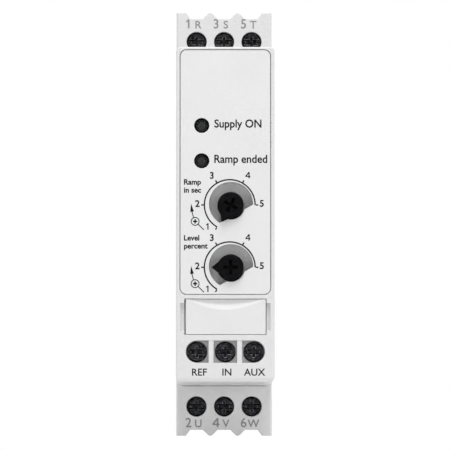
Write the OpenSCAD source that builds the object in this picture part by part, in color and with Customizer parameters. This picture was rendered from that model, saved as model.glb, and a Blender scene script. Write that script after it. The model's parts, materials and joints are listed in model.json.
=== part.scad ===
// Soft starter for small motors: a narrow rail-mounted module with a stepped moulded housing,
// a front cover with two pointer knobs, and screw clamps above, below and in the front cover.
// X is the width, -Y is the front and +Z is up. The origin is the middle of the rail seat.

/* [Body] */
// Width of the module
body_w = 22.5; // [20:0.25:25]
// Height over the terminal fences
body_h = 100; // [90:1:112]
// Depth from the front face to the back pads
body_d = 99.6; // [90:0.2:115]
// Thickness of the side walls
side_wall = 1.4; // [1.2:0.1:1.5]
// Thickness of the other walls of the housing
shell_wall = 1.6; // [1.2:0.1:1.8]
// Gap between moulded pieces that fit together
fit_gap = 0.1; // [0.05:0.05:0.15]
// Chamfer on the rear edges of the housing
rear_chamfer = 3; // [2:0.5:4]

/* [Front cover] */
// Depth of the front cover in front of the power terminals
nose_d = 34; // [31:1:38]
// Height of the terminal steps above and below the front cover
terminal_h = 11.7; // [11.4:0.1:12.6]
// Thickness of the front wall
front_wall = 1.8; // [1.6:0.1:2]
// Rounding of the front edges above and at the sides
edge_r = 0.4; // [0.2:0.05:0.4]
// Rounding of the lower front edge
edge_low_r = 0.9; // [0.4:0.1:1.2]
// Rounding of the corners seen from the front
corner_r = 1.2; // [0.8:0.1:1.6]
// Length of the tongue that plugs into the housing
tongue_l = 6; // [5:0.5:7]
// Thickness of the tongue
tongue_t = 1.2; // [1:0.1:1.4]

/* [Printed panel] */
// Margin beside the panel
panel_side = 1; // [0.8:0.05:1.4]
// Margin above the panel
panel_over = 0.75; // [0.65:0.05:1.2]
// Margin between the panel and the marker plate
panel_under = 1.2; // [0.9:0.1:1.6]
// Thickness of the panel
panel_t = 0.25; // [0.15:0.05:0.4]
// Groove around the panel
panel_gap = 0.2; // [0.1:0.05:0.2]
// Depth of the groove around the panel
groove_depth = 0.8; // [0.5:0.1:1]
// Rounding of the panel's corners
panel_r = 1.4; // [0.8:0.1:2]

/* [Dials] */
// Diameter of a knob
knob_d = 6; // [5.8:0.1:6.4]
// Reach of a pointer from its axis
pointer_l = 4.4; // [4:0.1:4.6]
// Thickness of a pointer
pointer_t = 0.7; // [0.5:0.1:0.8]
// Radius of the well around a knob
well_r = 5.05; // [4.95:0.05:5.2]
// Depth of a well
well_depth = 3.2; // [2.6:0.1:3.4]
// Distance of the well's straight edge from the axis
well_edge = 2.35; // [2:0.05:2.6]
// Sideways place of the dials
dial_x = 1.2; // [0.6:0.1:1.6]
// Height of the lower dial above the panel's lower edge
dial_up = 6.05; // [5.8:0.05:6.6]
// Distance between the dials
dial_pitch = 14.25; // [13.8:0.05:14.8]
// Diameter of a knob's spindle
spindle_d = 2.4; // [2:0.1:2.8]

/* [Lamps] */
// Diameter of a lamp
lamp_d = 3.2; // [3:0.1:3.3]
// Distance of the lamps from the panel's left edge
lamp_in = 4.85; // [4.4:0.05:5.1]
// Height of the lower lamp above the upper dial
lamp_up = 10.2; // [9.4:0.1:10.8]
// Distance between the lamps
lamp_pitch = 8.1; // [7.5:0.1:8.6]

/* [Marker plate] */
// Margin beside the plate
marker_side = 2.15; // [2.1:0.05:2.5]
// Height of the plate
marker_h = 8; // [7.6:0.1:8.2]
// Height of the plate's middle above the cover's lower edge
marker_up = 14.75; // [14.65:0.05:15.3]
// Sideways place of the plate in its pocket
marker_slide = 0.1; // [-0.15:0.05:0.15]
// Thickness of the plate
marker_t = 1.5; // [1.2:0.1:1.7]

/* [Terminals] */
// Distance of a power screw from the top of its fence
screw_inset = 6.8; // [6.4:0.1:7]
// Height of a fence above the shoulder of the housing
fence_h = 3; // [2.6:0.1:3.2]
// Depth of the scallops in a fence
scallop_depth = 1.4; // [1:0.05:1.6]
// Width of a fence's teeth at the scallops' floor
tooth_w = 3.5; // [3:0.1:3.7]
// Height of the control screws above the cover's lower edge
control_up = 6.8; // [6.8:0.05:7]
// Space between neighbouring screw heads
head_space = 2; // [1.9:0.1:2.3]
// Thickness of a screw head
head_t = 2; // [1.6:0.1:2.2]
// Diameter of a screw's shank
shank_d = 3; // [2.6:0.1:3]
// Wall between neighbouring clamps
partition = 1.2; // [1:0.1:1.3]
// Height of a clamp cage
cage_h = 4.6; // [4.2:0.1:4.7]
// Thickness of a cage's sides
cage_t = 0.4; // [0.3:0.05:0.45]
// Thickness of a cage's nut plate
nut_t = 1.6; // [1.2:0.1:2]
// Gap for the wire with the clamp open
wire_gap = 4.7; // [4.6:0.1:5]
// Travel of a cage from open to closed
cage_travel = 2.5; // [2:0.1:2.8]
// Thickness of the contact bars
bar_t = 1; // [0.8:0.1:1.2]

/* [Rail mount] */
// Height of the rail
rail_h = 35; // [34.8:0.1:35.2]
// Thickness of the rail's flanges with their play
rail_flange = 1.4; // [1.2:0.1:1.5]
// Distance of the back pads behind the rail seat
rail_pad = 5; // [4.8:0.1:6]
// Reach of the hook and the latch behind a flange
hook_reach = 2.3; // [1.8:0.1:2.6]
// Width of the latch
latch_w = 11; // [9:0.5:13]

/* [Hidden] */
$fn = 48;

// Overhang of cutting shapes past the faces that they cut, and depth to which joined shapes run together
over = 1;
bite = 0.3;
poles = [-1, 0, 1];

// Main planes
half_w = body_w / 2;
half_h = body_h / 2;
shoulder_z = half_h - fence_h;
nose_h = body_h - 2 * terminal_h;
nose_top = nose_h / 2;
y_back = rail_pad;
y_front = y_back - body_d;
y_face = y_front + nose_d;
inner_half_w = half_w - side_wall;
nose_wall = shell_wall;
tongue_half_w = inner_half_w - fit_gap;

// Screw clamps across the width
block_half_w = inner_half_w - fit_gap;
pole_pitch = 2 * block_half_w / 3;
chamber_w = pole_pitch - partition;
cage_side_play = 0.15;
cage_w = chamber_w - 2 * cage_side_play;
entry_w = cage_w - 2 * cage_t;
bar_side_play = 0.2;
bar_w = entry_w - 2 * bar_side_play;
bar_gap = 0.15;
head_d = pole_pitch - head_space;
head_gap = 0.15;
shank_gap = 0.06;

// Screw clamps inwards from the terminal face, along the screw
head_sink = 1;
head_play = 0.1;
seat_t = 1.1;
fence_t = head_sink + head_t + head_play + seat_t;
cage_play = 0.2;
bar_play = 0.4;
jaw_t = 0.7;
tip_gap = 0.1;
chamber_end_t = 1;
nut_y = fence_t + cage_play + cage_travel;
bar_y = nut_y + nut_t + bar_play;
gap_y = bar_y + bar_t;
jaw_y = gap_y + wire_gap;
chamber_y = jaw_y + jaw_t + 2 * cage_play;
block_d = chamber_y + chamber_end_t;
chamber_h = cage_h + 2 * cage_play;
screw_z = half_h - screw_inset;
fence_inner_z = nose_top + fit_gap;
scallop_floor = half_h - scallop_depth;
post_slope = 1;
fence_edge_r = 0.5;

// Printed panel, dials and lamps
marker_z = marker_up - nose_top;
panel_top = nose_top - panel_over;
panel_low = marker_z + marker_h / 2 + panel_under;
panel_w = body_w - 2 * panel_side;
panel_h = panel_top - panel_low;
panel_z = (panel_top + panel_low) / 2;
panel_sink = 0.1;
panel_face_y = y_front + panel_sink;
panel_bed = panel_sink + panel_t;
dial_z = panel_low + dial_up + dial_pitch;
well_shift = [0.1, 0.3];
well_floor_t = 0.9;
boss_wall = 1.1;
well_edge_angle = -61;
knob_relief = 0.3;
knob_proud = 0.8;
knob_lift = 0.2;
knob_chamfer = 0.3;
spindle_gap = 0.05;
spindle_room = 0.3;
spindle_sink = 0.8;
lamp_x = lamp_in - panel_w / 2;
lamp_z = dial_z + lamp_up + lamp_pitch;
lamp_gap = 0.15;
lamp_sink = 0.6;
lamp_flange = 0.4;

// Marker plate and control terminals
marker_w = body_w - 2 * marker_side;
marker_gap = 0.12;
marker_side_gap = 0.27;
marker_sink = 0.05;
notch_w = 0.9;
notch_h = 6.2;
notch_depth = 0.7;
pocket_wall = 1.1;
control_z = control_up - nose_top;
control_sink = 0.3;
y_control = y_front + control_sink;
control_face = front_wall - control_sink;
control_block_half_w = half_w - nose_wall - fit_gap;
control_block_top = control_z + chamber_h / 2 + partition;
control_block_low = nose_wall + fit_gap - nose_top;
slot_margin = 0.3;
slot_h = head_d + 2 * slot_margin;
slot_w = 2 * pole_pitch + slot_h;
rib_w = 1.15;
rib_sink = 0.1;
window_gap = 0.3;

// Control board and what it carries
board_t = 1.6;
board_margin = 1.5;
control_board_back = y_control + bar_y;
control_board_front = control_board_back - board_t;
control_board_top = nose_top - nose_wall - board_margin;
control_board_up = 8;
control_board_low = control_z + control_board_up;
control_board_side = 1.4;
pot_w = 7;
pot_t = 2.4;
pot_nib = 0.3;

// Snap hooks between the front cover and the housing
hook_w = 8;
hook_in = 16;
hook_z = nose_top - hook_in;
hook_y = y_face + 2;
hook_d = 2.4;
hook_h = 0.9;
hook_gap = 0.25;

// Rail seat, hook and latch
rail_play = 0.2;
rail_edge = rail_h / 2 + rail_play;
hook_lead = 1;
latch_t_w = 1.5;
latch_t_t = 1.2;
latch_gap = 0.15;
latch_inset = 0.4;
latch_low = latch_inset - shoulder_z;
latch_lead = 1.4;
stop_up = 11;
stop_z = stop_up - shoulder_z;
stop_t = 1.6;
stop_w = 5;
spring_l = 10;
spring_d = 2.8;
spring_wire = 0.5;
spring_turns = 6;
spring_room = 0.3;
spring_in = 1.9;
spring_y = rail_flange + spring_in;

// Power board and its components
board_inset = 2.65;
power_board_x = board_inset - inner_half_w;
board_face = power_board_x + board_t;
board_rear_gap = 0.4;
power_board_back = -shell_wall - board_rear_gap;
power_board_margin = 2.2;
power_board_h = nose_h - 2 * power_board_margin;
board_lap = 2;
board_link_gap = 0.4;
sink_inset = 5.25;
sink_x = inner_half_w - sink_inset;
sink_base_t = 2;
sink_fin_t = 1.1;
sink_fin_gap = 0.4;
sink_fin_h = sink_inset - sink_base_t - sink_fin_gap;
sink_front_gap = 0.9;
sink_y = y_face + block_d + sink_front_gap;
sink_rear_gap = 9;
sink_d = -sink_rear_gap - sink_y;
sink_rise = 3;
sink_drop = 1;
sink_z = -sink_drop;
sink_h = power_board_h / 2 + sink_rise + sink_drop;
fins = 8;
pin_d = 1.6;
pin_inset = 3;
thyristor_w = 10;
thyristor_h = 9.2;
thyristor_t = 4.4;
thyristor_up = 3;
thyristor_y = sink_y + sink_d / 2;
thyristor_zs = [sink_z + thyristor_up, sink_z + sink_h / 2 + thyristor_up];
tab_t = 1.3;
tab_h = 6.2;
tab_screw_d = 3;
tab_screw_head_d = 5.4;
tab_screw_head_t = 2;
leg_in = 2;
leg_w = 0.8;
leg_t = 0.6;
leg_pitch = 2.54;
leg_drop = 1.2;
relay_gap = 1.45;
relay_w = inner_half_w - board_face - relay_gap;
relay_front = 2;
relay_rear = 3;
relay_y = sink_y + relay_front;
relay_d = sink_d - relay_front - relay_rear;
relay_up = 7;
relay_z = relay_up - power_board_h / 2;
relay_h = 12.8;
capacitor_d = 8;
capacitor_gap = 2.5;
capacitor_l = relay_w - capacitor_gap;
capacitor_in = 8.6;
capacitor_y = y_face + capacitor_in;
capacitor_up = 11;
capacitor_z = relay_z + capacitor_up;
varistor_gap = 4.5;
varistor_d = relay_w - varistor_gap;
varistor_t = 4;
varistor_in = 9.6;
varistor_y = y_face + varistor_in;
varistor_up = 9;
varistor_z = sink_z + varistor_up;

module mirror_lower(lower) {
    if (lower) mirror([0, 0, 1]) children();
    else children();
}

// Moves a shape drawn in X and Y, with its thickness along Z, so that it faces the front at depth y
module facing_front(y) {
    translate([0, y, 0]) rotate([90, 0, 0]) mirror([0, 0, 1]) children();
}

// Extrudes a Y-Z outline across the width
module across(width) {
    translate([-width / 2, 0, 0]) rotate([90, 0, 90]) linear_extrude(width) children();
}

module round_rect(w, h, r) {
    square([w - 2 * r, h], center = true);
    square([w, h - 2 * r], center = true);
    for (x = [-1, 1], y = [-1, 1]) translate([x * (w / 2 - r), y * (h / 2 - r)]) circle(r);
}

// Rectangle with its two corners at the low end of the first axis rounded
module front_rounded(low, high, half, r, under_r) {
    deep = max(r, under_r);
    translate([low + deep, -half]) square([high - low - deep, 2 * half]);
    translate([low, under_r - half]) square([2 * deep, 2 * half - r - under_r]);
    translate([low + r, half - 2 * r]) square([2 * deep, 2 * r]);
    translate([low + under_r, -half]) square([2 * deep, 2 * under_r]);
    translate([low + r, half - r]) circle(r);
    translate([low + under_r, under_r - half]) circle(under_r);
}

module rod_y(d, y0, y1) {
    translate([0, y0, 0]) rotate([-90, 0, 0]) cylinder(d = d, h = y1 - y0);
}

module rod_x(d, x0, x1) {
    translate([x0, 0, 0]) rotate([0, 90, 0]) cylinder(d = d, h = x1 - x0);
}

module slab(x0, x1, y0, y1, z0, z1) {
    translate([x0, y0, z0]) cube([x1 - x0, y1 - y0, z1 - z0]);
}

// Housing: side view, with the fences in front, the rail hook above and the latch pad below
module housing_side() {
    slope_end = y_face + fence_t + fence_h;
    polygon([
        [y_face, half_h], [y_face + fence_t, half_h], [slope_end, shoulder_z],
        [y_back - rear_chamfer, shoulder_z], [y_back, shoulder_z - rear_chamfer],
        [y_back, rail_edge - hook_reach + hook_lead], [y_back - hook_lead, rail_edge - hook_reach],
        [rail_flange, rail_edge - hook_reach], [rail_flange, rail_edge],
        [0, rail_edge], [0, -rail_edge], [y_back, -rail_edge],
        [y_back, rear_chamfer - shoulder_z], [y_back - rear_chamfer, -shoulder_z],
        [slope_end, -shoulder_z], [y_face + fence_t, -half_h], [y_face, -half_h]
    ]);
}

// Housing: the room inside, open to the front between the fences and open above each terminal block
module housing_room() {
    block_start = y_face + fence_t;
    block_end = y_face + block_d + fit_gap;
    ceiling = shoulder_z - shell_wall;
    back = y_back - shell_wall;
    slope = rear_chamfer + shell_wall * (sqrt(2) - 1);
    polygon([
        [y_face - over, fence_inner_z], [block_start, fence_inner_z],
        [block_start, half_h + over], [block_end, half_h + over], [block_end, ceiling],
        [y_back - slope, ceiling], [back, shoulder_z - slope],
        [back, rail_edge + shell_wall], [-shell_wall, rail_edge + shell_wall],
        [-shell_wall, -ceiling], [block_end, -ceiling],
        [block_end, -half_h - over], [block_start, -half_h - over],
        [block_start, -fence_inner_z], [y_face - over, -fence_inner_z]
    ]);
}

// Tooth of a fence between two scallops, drawn upwards from the scallops' floor
module fence_tooth() {
    foot = tooth_w / 2;
    tip_r = foot / 2;
    brow = scallop_depth - tip_r * 0.6;
    polygon([[-foot, -over], [-foot, 0], [-tip_r, brow], [tip_r, brow], [foot, 0], [foot, -over]]);
    translate([0, scallop_depth - tip_r]) circle(tip_r);
}

module scallops() {
    end_x = pole_pitch + (pole_pitch - tooth_w) / 2;
    top_x = end_x + post_slope;
    facing_front(y_face - over) linear_extrude(fence_t + 2 * over) difference() {
        polygon([
            [-end_x, scallop_floor], [end_x, scallop_floor], [top_x, half_h], [top_x, half_h + over],
            [-top_x, half_h + over], [-top_x, half_h]
        ]);
        for (side = [-1, 1]) translate([side * pole_pitch / 2, scallop_floor]) fence_tooth();
    }
}

module screw_hole() {
    rod_y(head_d + 2 * head_gap, -over, head_sink + head_t + head_play);
    rod_y(shank_d + 2 * shank_gap, 0, fence_t + over);
}

module fence_cuts() {
    scallops();
    for (i = poles) translate([i * pole_pitch, y_face, screw_z]) screw_hole();
}

module vents() {
    slot_d = 2;
    slot_pitch = 4.5;
    slots = 7;
    slot_l = 2 * inner_half_w - 6;
    first = y_face + block_d + 4;
    for (i = [0 : slots - 1], side = [-1, 1])
        translate([-slot_l / 2, first + i * slot_pitch, side * (shoulder_z - shell_wall / 2) - shell_wall])
            cube([slot_l, slot_d, 2 * shell_wall]);
}

module latch_channel() {
    wide = latch_w + 2 * latch_t_w + 2 * latch_gap;
    low = -shoulder_z - over;
    high = over - rail_edge;
    slab(-wide / 2, wide / 2, rail_flange - latch_gap, rail_flange + latch_t_t + latch_gap, low, high);
    slab(-latch_w / 2 - latch_gap, latch_w / 2 + latch_gap, rail_flange, y_back + over, low, high);
}

module latch_stop() {
    slab(-stop_w / 2, stop_w / 2, rail_flange - latch_gap - bite, y_back - 0.4, stop_z - stop_t, stop_z);
}

// Grooved guides that hold the rear corners of the power board
module board_guides() {
    guide_t = 1.4;
    guide_d = 14;
    guide_lip = 0.8;
    guide_side = 1.2;
    edge = power_board_h / 2;
    for (lower = [false, true]) mirror_lower(lower) difference() {
        slab(-inner_half_w - bite, board_face + guide_side, power_board_back - guide_d, bite - shell_wall,
            edge - guide_lip, edge + guide_t);
        slab(power_board_x - fit_gap, board_face + fit_gap, power_board_back - guide_d - over,
            power_board_back + fit_gap, edge - guide_lip - over, edge + fit_gap);
    }
}

module base_housing() {
    color("gainsboro") {
        difference() {
            intersection() {
                across(body_w) housing_side();
                translate([0, 0, -half_h]) linear_extrude(body_h) rotate(90)
                    mirror([0, 1]) front_rounded(y_face, y_back, half_w, fence_edge_r, fence_edge_r);
            }
            across(2 * inner_half_w) housing_room();
            for (lower = [false, true]) mirror_lower(lower) fence_cuts();
            vents();
            latch_channel();
            for (side = [-1, 1], z = [-hook_z, hook_z])
                translate([side * half_w, hook_y + hook_d / 2, z])
                    cube([4 * side_wall, hook_d + 2 * hook_gap, hook_w + 2 * hook_gap], center = true);
        }
        latch_stop();
        board_guides();
    }
}

// Front cover
module nose_block() {
    intersection() {
        facing_front(y_front) linear_extrude(nose_d) round_rect(body_w, nose_h, corner_r);
        across(body_w) front_rounded(y_front, y_face, nose_top, edge_r, edge_low_r);
        translate([0, 0, -nose_top]) linear_extrude(nose_h) rotate(90)
            mirror([0, 1]) front_rounded(y_front, y_face, half_w, edge_r, edge_r);
    }
}

module nose_room() {
    room_half_w = half_w - nose_wall;
    room_half_h = nose_top - nose_wall;
    slab(-room_half_w, room_half_w, y_front + front_wall, y_face + over, -room_half_h, room_half_h);
}

module tongue() {
    root = 4;
    inside = tongue_half_w - tongue_t;
    inside_h = nose_top - nose_wall;
    difference() {
        slab(-tongue_half_w, tongue_half_w, y_face - root, y_face + tongue_l, -nose_top, nose_top);
        slab(-inside, inside, y_face - root - over, y_face + tongue_l + over, -inside_h, inside_h);
    }
}

module snap_hooks() {
    land = 0.6;
    near = tongue_half_w - bite;
    far = tongue_half_w + hook_h;
    for (side = [-1, 1], z = [-hook_z, hook_z])
        translate([0, 0, z - hook_w / 2]) linear_extrude(hook_w)
            polygon([
                [side * near, hook_y], [side * far, hook_y], [side * far, hook_y + land],
                [side * tongue_half_w, hook_y + hook_d], [side * near, hook_y + hook_d]
            ]);
}

module at_dials() {
    for (i = [0, 1]) translate([dial_x, 0, dial_z - i * dial_pitch]) children();
}

// The wells' circles are a little above and to the right of the knobs' axes
module at_wells() {
    at_dials() translate([well_shift[0], 0, well_shift[1]]) children();
}

// Round well with a straight edge at the lower right, where the panel and the cover are left whole
module dial_well() {
    reach = 2 * well_r;
    y_deep = y_front + well_depth + over;
    difference() {
        translate([well_shift[0], 0, well_shift[1]]) rod_y(2 * well_r, y_front - over, y_front + well_depth);
        rotate([0, -well_edge_angle, 0]) difference() {
            slab(well_edge, reach, y_front - 2 * over, y_deep, -reach, reach);
            rod_y(knob_d + 2 * knob_relief, y_front - 3 * over, y_deep + over);
        }
    }
}

module control_slot() {
    facing_front(y_front - over) linear_extrude(front_wall + 2 * over) translate([0, control_z]) {
        square([slot_w - slot_h, slot_h], center = true);
        for (side = [-1, 1]) translate([side * pole_pitch, 0]) circle(d = slot_h);
    }
}

module slot_ribs() {
    for (side = [-1, 1])
        translate([side * pole_pitch / 2 - rib_w / 2, y_front + rib_sink, control_z - slot_h / 2 - bite])
            cube([rib_w, front_wall - rib_sink, slot_h + 2 * bite]);
}

module marker_pocket() {
    w = marker_w + 2 * marker_side_gap;
    h = marker_h + 2 * marker_gap;
    notch = w + 2 * notch_w;
    translate([0, 0, marker_z]) {
        slab(-w / 2, w / 2, y_front - over, y_front + marker_t + marker_sink, -h / 2, h / 2);
        slab(-notch / 2, notch / 2, y_front - over, y_front + notch_depth, -notch_h / 2, notch_h / 2);
    }
}

module control_window() {
    w = 2 * pole_pitch + chamber_w;
    slab(-w / 2, w / 2, y_control + gap_y - window_gap, y_control + jaw_y + window_gap,
        -nose_top - over, nose_wall + over - nose_top);
}

module front_cover() {
    pocket_half_w = half_w - nose_wall / 2;
    color("whitesmoke") {
        difference() {
            union() {
                difference() {
                    nose_block();
                    nose_room();
                }
                tongue();
                snap_hooks();
                at_wells()
                    rod_y(2 * (well_r + boss_wall), y_front + panel_bed, y_front + well_depth + well_floor_t);
                translate([0, 0, marker_z])
                    slab(-pocket_half_w, pocket_half_w, y_front + front_wall / 2,
                        y_front + marker_t + marker_sink + pocket_wall, -marker_h / 2, marker_h / 2);
            }
            facing_front(y_front - over) linear_extrude(over + panel_bed) translate([0, panel_z])
                round_rect(panel_w + 2 * panel_gap, panel_h + 2 * panel_gap, panel_r + panel_gap);
            facing_front(y_front - over) linear_extrude(over + groove_depth) translate([0, panel_z])
                difference() {
                    round_rect(panel_w + 2 * panel_gap, panel_h + 2 * panel_gap, panel_r + panel_gap);
                    round_rect(panel_w, panel_h, panel_r);
                }
            at_dials() {
                dial_well();
                rod_y(spindle_d + 2 * spindle_room, y_front, y_front + 2 * front_wall + well_depth);
            }
            at_lamps() rod_y(lamp_d + 2 * lamp_gap, y_front - over, y_front + front_wall + over);
            marker_pocket();
            control_slot();
            control_window();
        }
        slot_ribs();
    }
}

module front_panel() {
    color("white") difference() {
        facing_front(panel_face_y) linear_extrude(panel_t) translate([0, panel_z])
            round_rect(panel_w, panel_h, panel_r);
        at_dials() dial_well();
        at_lamps() rod_y(lamp_d + 2 * lamp_gap, y_front - over, y_front + over);
    }
}

// Blank plate with a shallow thumb scoop at its upper edge
module marker_plate() {
    scoop_r = 44;
    scoop_depth = 0.9;
    scoop_h = 2.4;
    y0 = y_front + marker_sink;
    color("whitesmoke") translate([marker_slide, 0, marker_z]) difference() {
        slab(-marker_w / 2, marker_w / 2, y0, y0 + marker_t, -marker_h / 2, marker_h / 2);
        translate([0, y0 + scoop_depth, marker_h / 2]) rotate([-atan2(scoop_depth, scoop_h), 0, 0])
            translate([0, -scoop_r, 0]) cylinder(r = scoop_r, h = 2 * marker_h, center = true, $fn = 192);
    }
}

// Boards
module control_board() {
    half = half_w - nose_wall - control_board_side;
    color("seagreen")
        slab(-half, half, control_board_front, control_board_back, control_board_low, control_board_top);
}

module power_board() {
    edge = power_board_h / 2;
    step_y = y_face + tongue_l - board_lap;
    color("seagreen") {
        slab(power_board_x, board_face, step_y, power_board_back, -edge, edge);
        slab(power_board_x, board_face, control_board_back + board_link_gap, step_y + bite,
            control_board_low + 4, control_board_top - 2);
    }
}

module board_link() {
    link_w = 2.6;
    link_d = 5;
    link_h = 20;
    link_z = control_board_top - 7 - link_h;
    pins = 7;
    pin_w = 0.6;
    pin_l = 2.5;
    color("dimgray") {
        slab(board_face, board_face + link_w, control_board_back, control_board_back + link_d,
            link_z, link_z + link_h);
        translate([board_face + (link_w - pin_w) / 2, control_board_back + link_d - bite, link_z - pin_w / 2])
            for (i = [0 : pins - 1]) translate([0, 0, (i + 0.5) * link_h / pins])
                cube([pin_w, pin_l + bite, pin_w]);
    }
}

// Dials
module pot(i) {
    half = pot_w / 2;
    collar_t = 1;
    pot_front = control_board_front - pot_t;
    color("royalblue") translate([dial_x, 0, dial_z - i * dial_pitch]) difference() {
        union() {
            slab(-half, half, pot_front, control_board_front, -half, half);
            rod_y(spindle_d + 2 * collar_t, pot_front - pot_nib, control_board_front);
        }
        rod_y(spindle_d + 2 * spindle_gap, pot_front - over, control_board_front - spindle_sink);
    }
}

module spindle(i) {
    end_gap = 0.1;
    color("ivory") translate([dial_x, 0, dial_z - i * dial_pitch])
        rod_y(spindle_d, y_front + spindle_sink, control_board_front - spindle_sink - end_gap);
}

// Knob with its pointer at an angle from +X, counter-clockwise from the front
module knob(i, angle) {
    y_top = y_front - knob_proud;
    y_low = y_front + well_depth - knob_lift;
    neck = knob_d / 2 - knob_chamfer;
    neck_half = knob_d * 0.22;
    root_half = knob_d * 0.25;
    cross_l = 3.4;
    cross_w = 0.75;
    cross_depth = 1;
    bore_gap = 0.1;
    color("black") translate([dial_x, 0, dial_z - i * dial_pitch]) rotate([0, -angle, 0]) difference() {
        union() {
            rod_y(knob_d, y_top + knob_chamfer, y_low);
            translate([0, y_top, 0]) rotate([-90, 0, 0])
                cylinder(d1 = knob_d - 2 * knob_chamfer, d2 = knob_d, h = knob_chamfer);
            translate([0, y_top + pointer_t, 0]) rotate([90, 0, 0]) linear_extrude(pointer_t)
                polygon([
                    [0, -root_half], [neck, -neck_half], [pointer_l, 0], [neck, neck_half], [0, root_half]
                ]);
        }
        for (turn = [0, 90]) rotate([0, turn, 0])
            slab(-cross_l / 2, cross_l / 2, y_top - over, y_top + cross_depth, -cross_w / 2, cross_w / 2);
        rod_y(spindle_d + 2 * spindle_gap, y_front + spindle_sink - bore_gap, y_low + over);
    }
}

module at_lamps() {
    for (i = [0, 1]) translate([lamp_x, 0, lamp_z - i * lamp_pitch]) children();
}

// Lamp with a domed lens and a flange on the board
module lamp(i, tint) {
    r = lamp_d / 2;
    tip = y_front + lamp_sink;
    flange_t = 1;
    color(tint) translate([lamp_x, 0, lamp_z - i * lamp_pitch]) {
        rod_y(lamp_d, tip + r, control_board_front);
        intersection() {
            translate([0, tip + r, 0]) sphere(r);
            slab(-r, r, tip - over, tip + r, -r, r);
        }
        rod_y(lamp_d + 2 * lamp_flange, control_board_front - flange_t, control_board_front);
    }
}

// Screw clamps: the local origin is on the screw axis at the terminal face, with the wire from +Z
module clamp_cage() {
    y_end = jaw_y + jaw_t;
    color("silver") difference() {
        slab(-cage_w / 2, cage_w / 2, nut_y, y_end, -cage_h / 2, cage_h / 2);
        slab(-entry_w / 2, entry_w / 2, nut_y + nut_t, jaw_y, -cage_h, cage_h);
        rod_y(shank_d + 2 * shank_gap, nut_y - over, nut_y + nut_t + over);
    }
}

module clamp_screw() {
    chamfer = 0.35;
    slot_half = 0.35;
    slot_depth = 0.8;
    slot_bevel = 0.3;
    bevel_half = slot_half + slot_bevel + over;
    cross_l = 2.6;
    cross_depth = 1.4;
    underside = head_sink + head_t;
    color("dimgray") difference() {
        union() {
            rod_y(head_d, head_sink + chamfer, underside);
            translate([0, head_sink, 0]) rotate([-90, 0, 0])
                cylinder(d1 = head_d - 2 * chamfer, d2 = head_d, h = chamfer);
            rod_y(shank_d, underside - bite, bar_y - tip_gap);
        }
        slab(-head_d, head_d, head_sink - over, head_sink + slot_depth, -slot_half, slot_half);
        across(2 * head_d) polygon([
            [head_sink - over, -bevel_half], [head_sink + slot_bevel, -slot_half],
            [head_sink + slot_bevel, slot_half], [head_sink - over, bevel_half]
        ]);
        for (turn = [0, 90]) rotate([0, turn, 0])
            slab(-cross_l / 2, cross_l / 2, head_sink - over, head_sink + cross_depth, -slot_half, slot_half);
    }
}

// Room in a moulded block for one cage, with its wire entry and its bar
module cage_room(front, entry_l) {
    slab(-chamber_w / 2, chamber_w / 2, front, chamber_y, -chamber_h / 2, chamber_h / 2);
    slab(-entry_w / 2, entry_w / 2, gap_y, jaw_y, 0, entry_l);
    slab(-bar_w / 2 - bar_gap, bar_w / 2 + bar_gap, bar_y - bar_gap, gap_y + bar_gap, -2 * chamber_h, 0);
}

// Block behind a fence, with its cages open towards the fence
module power_block() {
    color("gainsboro") difference() {
        slab(-block_half_w, block_half_w, y_face + fence_t + fit_gap, y_face + block_d,
            fence_inner_z, shoulder_z);
        for (i = poles) translate([i * pole_pitch, y_face, screw_z])
            cage_room(fence_t - over, half_h - screw_z + over);
    }
}

module control_block() {
    color("lightgray") difference() {
        slab(-control_block_half_w, control_block_half_w, y_control + control_face + fit_gap,
            y_control + block_d, control_block_low, control_block_top);
        for (i = poles) translate([i * pole_pitch, y_control, control_z]) mirror([0, 0, 1]) {
            screw_hole();
            cage_room(fence_t, control_z - control_block_low + over);
        }
    }
}

module at_pole(group, i) {
    if (group == "control") translate([i * pole_pitch, y_control, control_z]) mirror([0, 0, 1]) children();
    else mirror_lower(group == "load") translate([i * pole_pitch, y_face, screw_z]) children();
}

// Bar from a power clamp to the board: a leg down out of the block and a foot across to the board
module power_bar(i) {
    x = i * pole_pitch;
    foot_h = 2.6;
    foot_step = 3.2;
    foot_l = 1;
    foot_z = power_board_h / 2 - 1 - (i + 1) * foot_step;
    slab(x - bar_w / 2, x + bar_w / 2, y_face + bar_y, y_face + gap_y, foot_z - foot_h, screw_z + cage_h / 2);
    slab(board_face, max(x, board_face + foot_l), y_face + bar_y, y_face + gap_y, foot_z - foot_h, foot_z);
}

module power_bars(lower) {
    edge = power_board_h / 2 + over;
    color("peru") mirror_lower(lower) for (i = poles) difference() {
        power_bar(i);
        slab(power_board_x - over, board_face, y_face, power_board_back, -edge, edge);
    }
}

module control_bars() {
    lap = 3;
    color("peru") for (i = poles)
        slab(i * pole_pitch - bar_w / 2, i * pole_pitch + bar_w / 2, y_control + bar_y, y_control + gap_y,
            control_z - cage_h / 2, control_board_low + lap);
}

// Power parts
module heat_sink() {
    fin_pitch = (sink_d - sink_fin_t) / (fins - 1);
    color("silver") difference() {
        union() {
            slab(sink_x, sink_x + sink_base_t, sink_y, sink_y + sink_d, sink_z, sink_z + sink_h);
            for (i = [0 : fins - 1])
                translate([sink_x + sink_base_t - bite, sink_y + i * fin_pitch, sink_z])
                    cube([sink_fin_h + bite, sink_fin_t, sink_h]);
            for (z = [sink_z + pin_inset, sink_z + sink_h - pin_inset])
                translate([0, sink_y + pin_inset, z]) rod_x(pin_d, board_face, sink_x + bite);
        }
        for (z = thyristor_zs) translate([0, thyristor_y, tab_hole_z(z)])
            rod_x(tab_screw_d, sink_x - over, sink_x + sink_base_t + over + sink_fin_h);
    }
}

function tab_hole_z(z) = z + thyristor_h + tab_h / 2;

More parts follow.
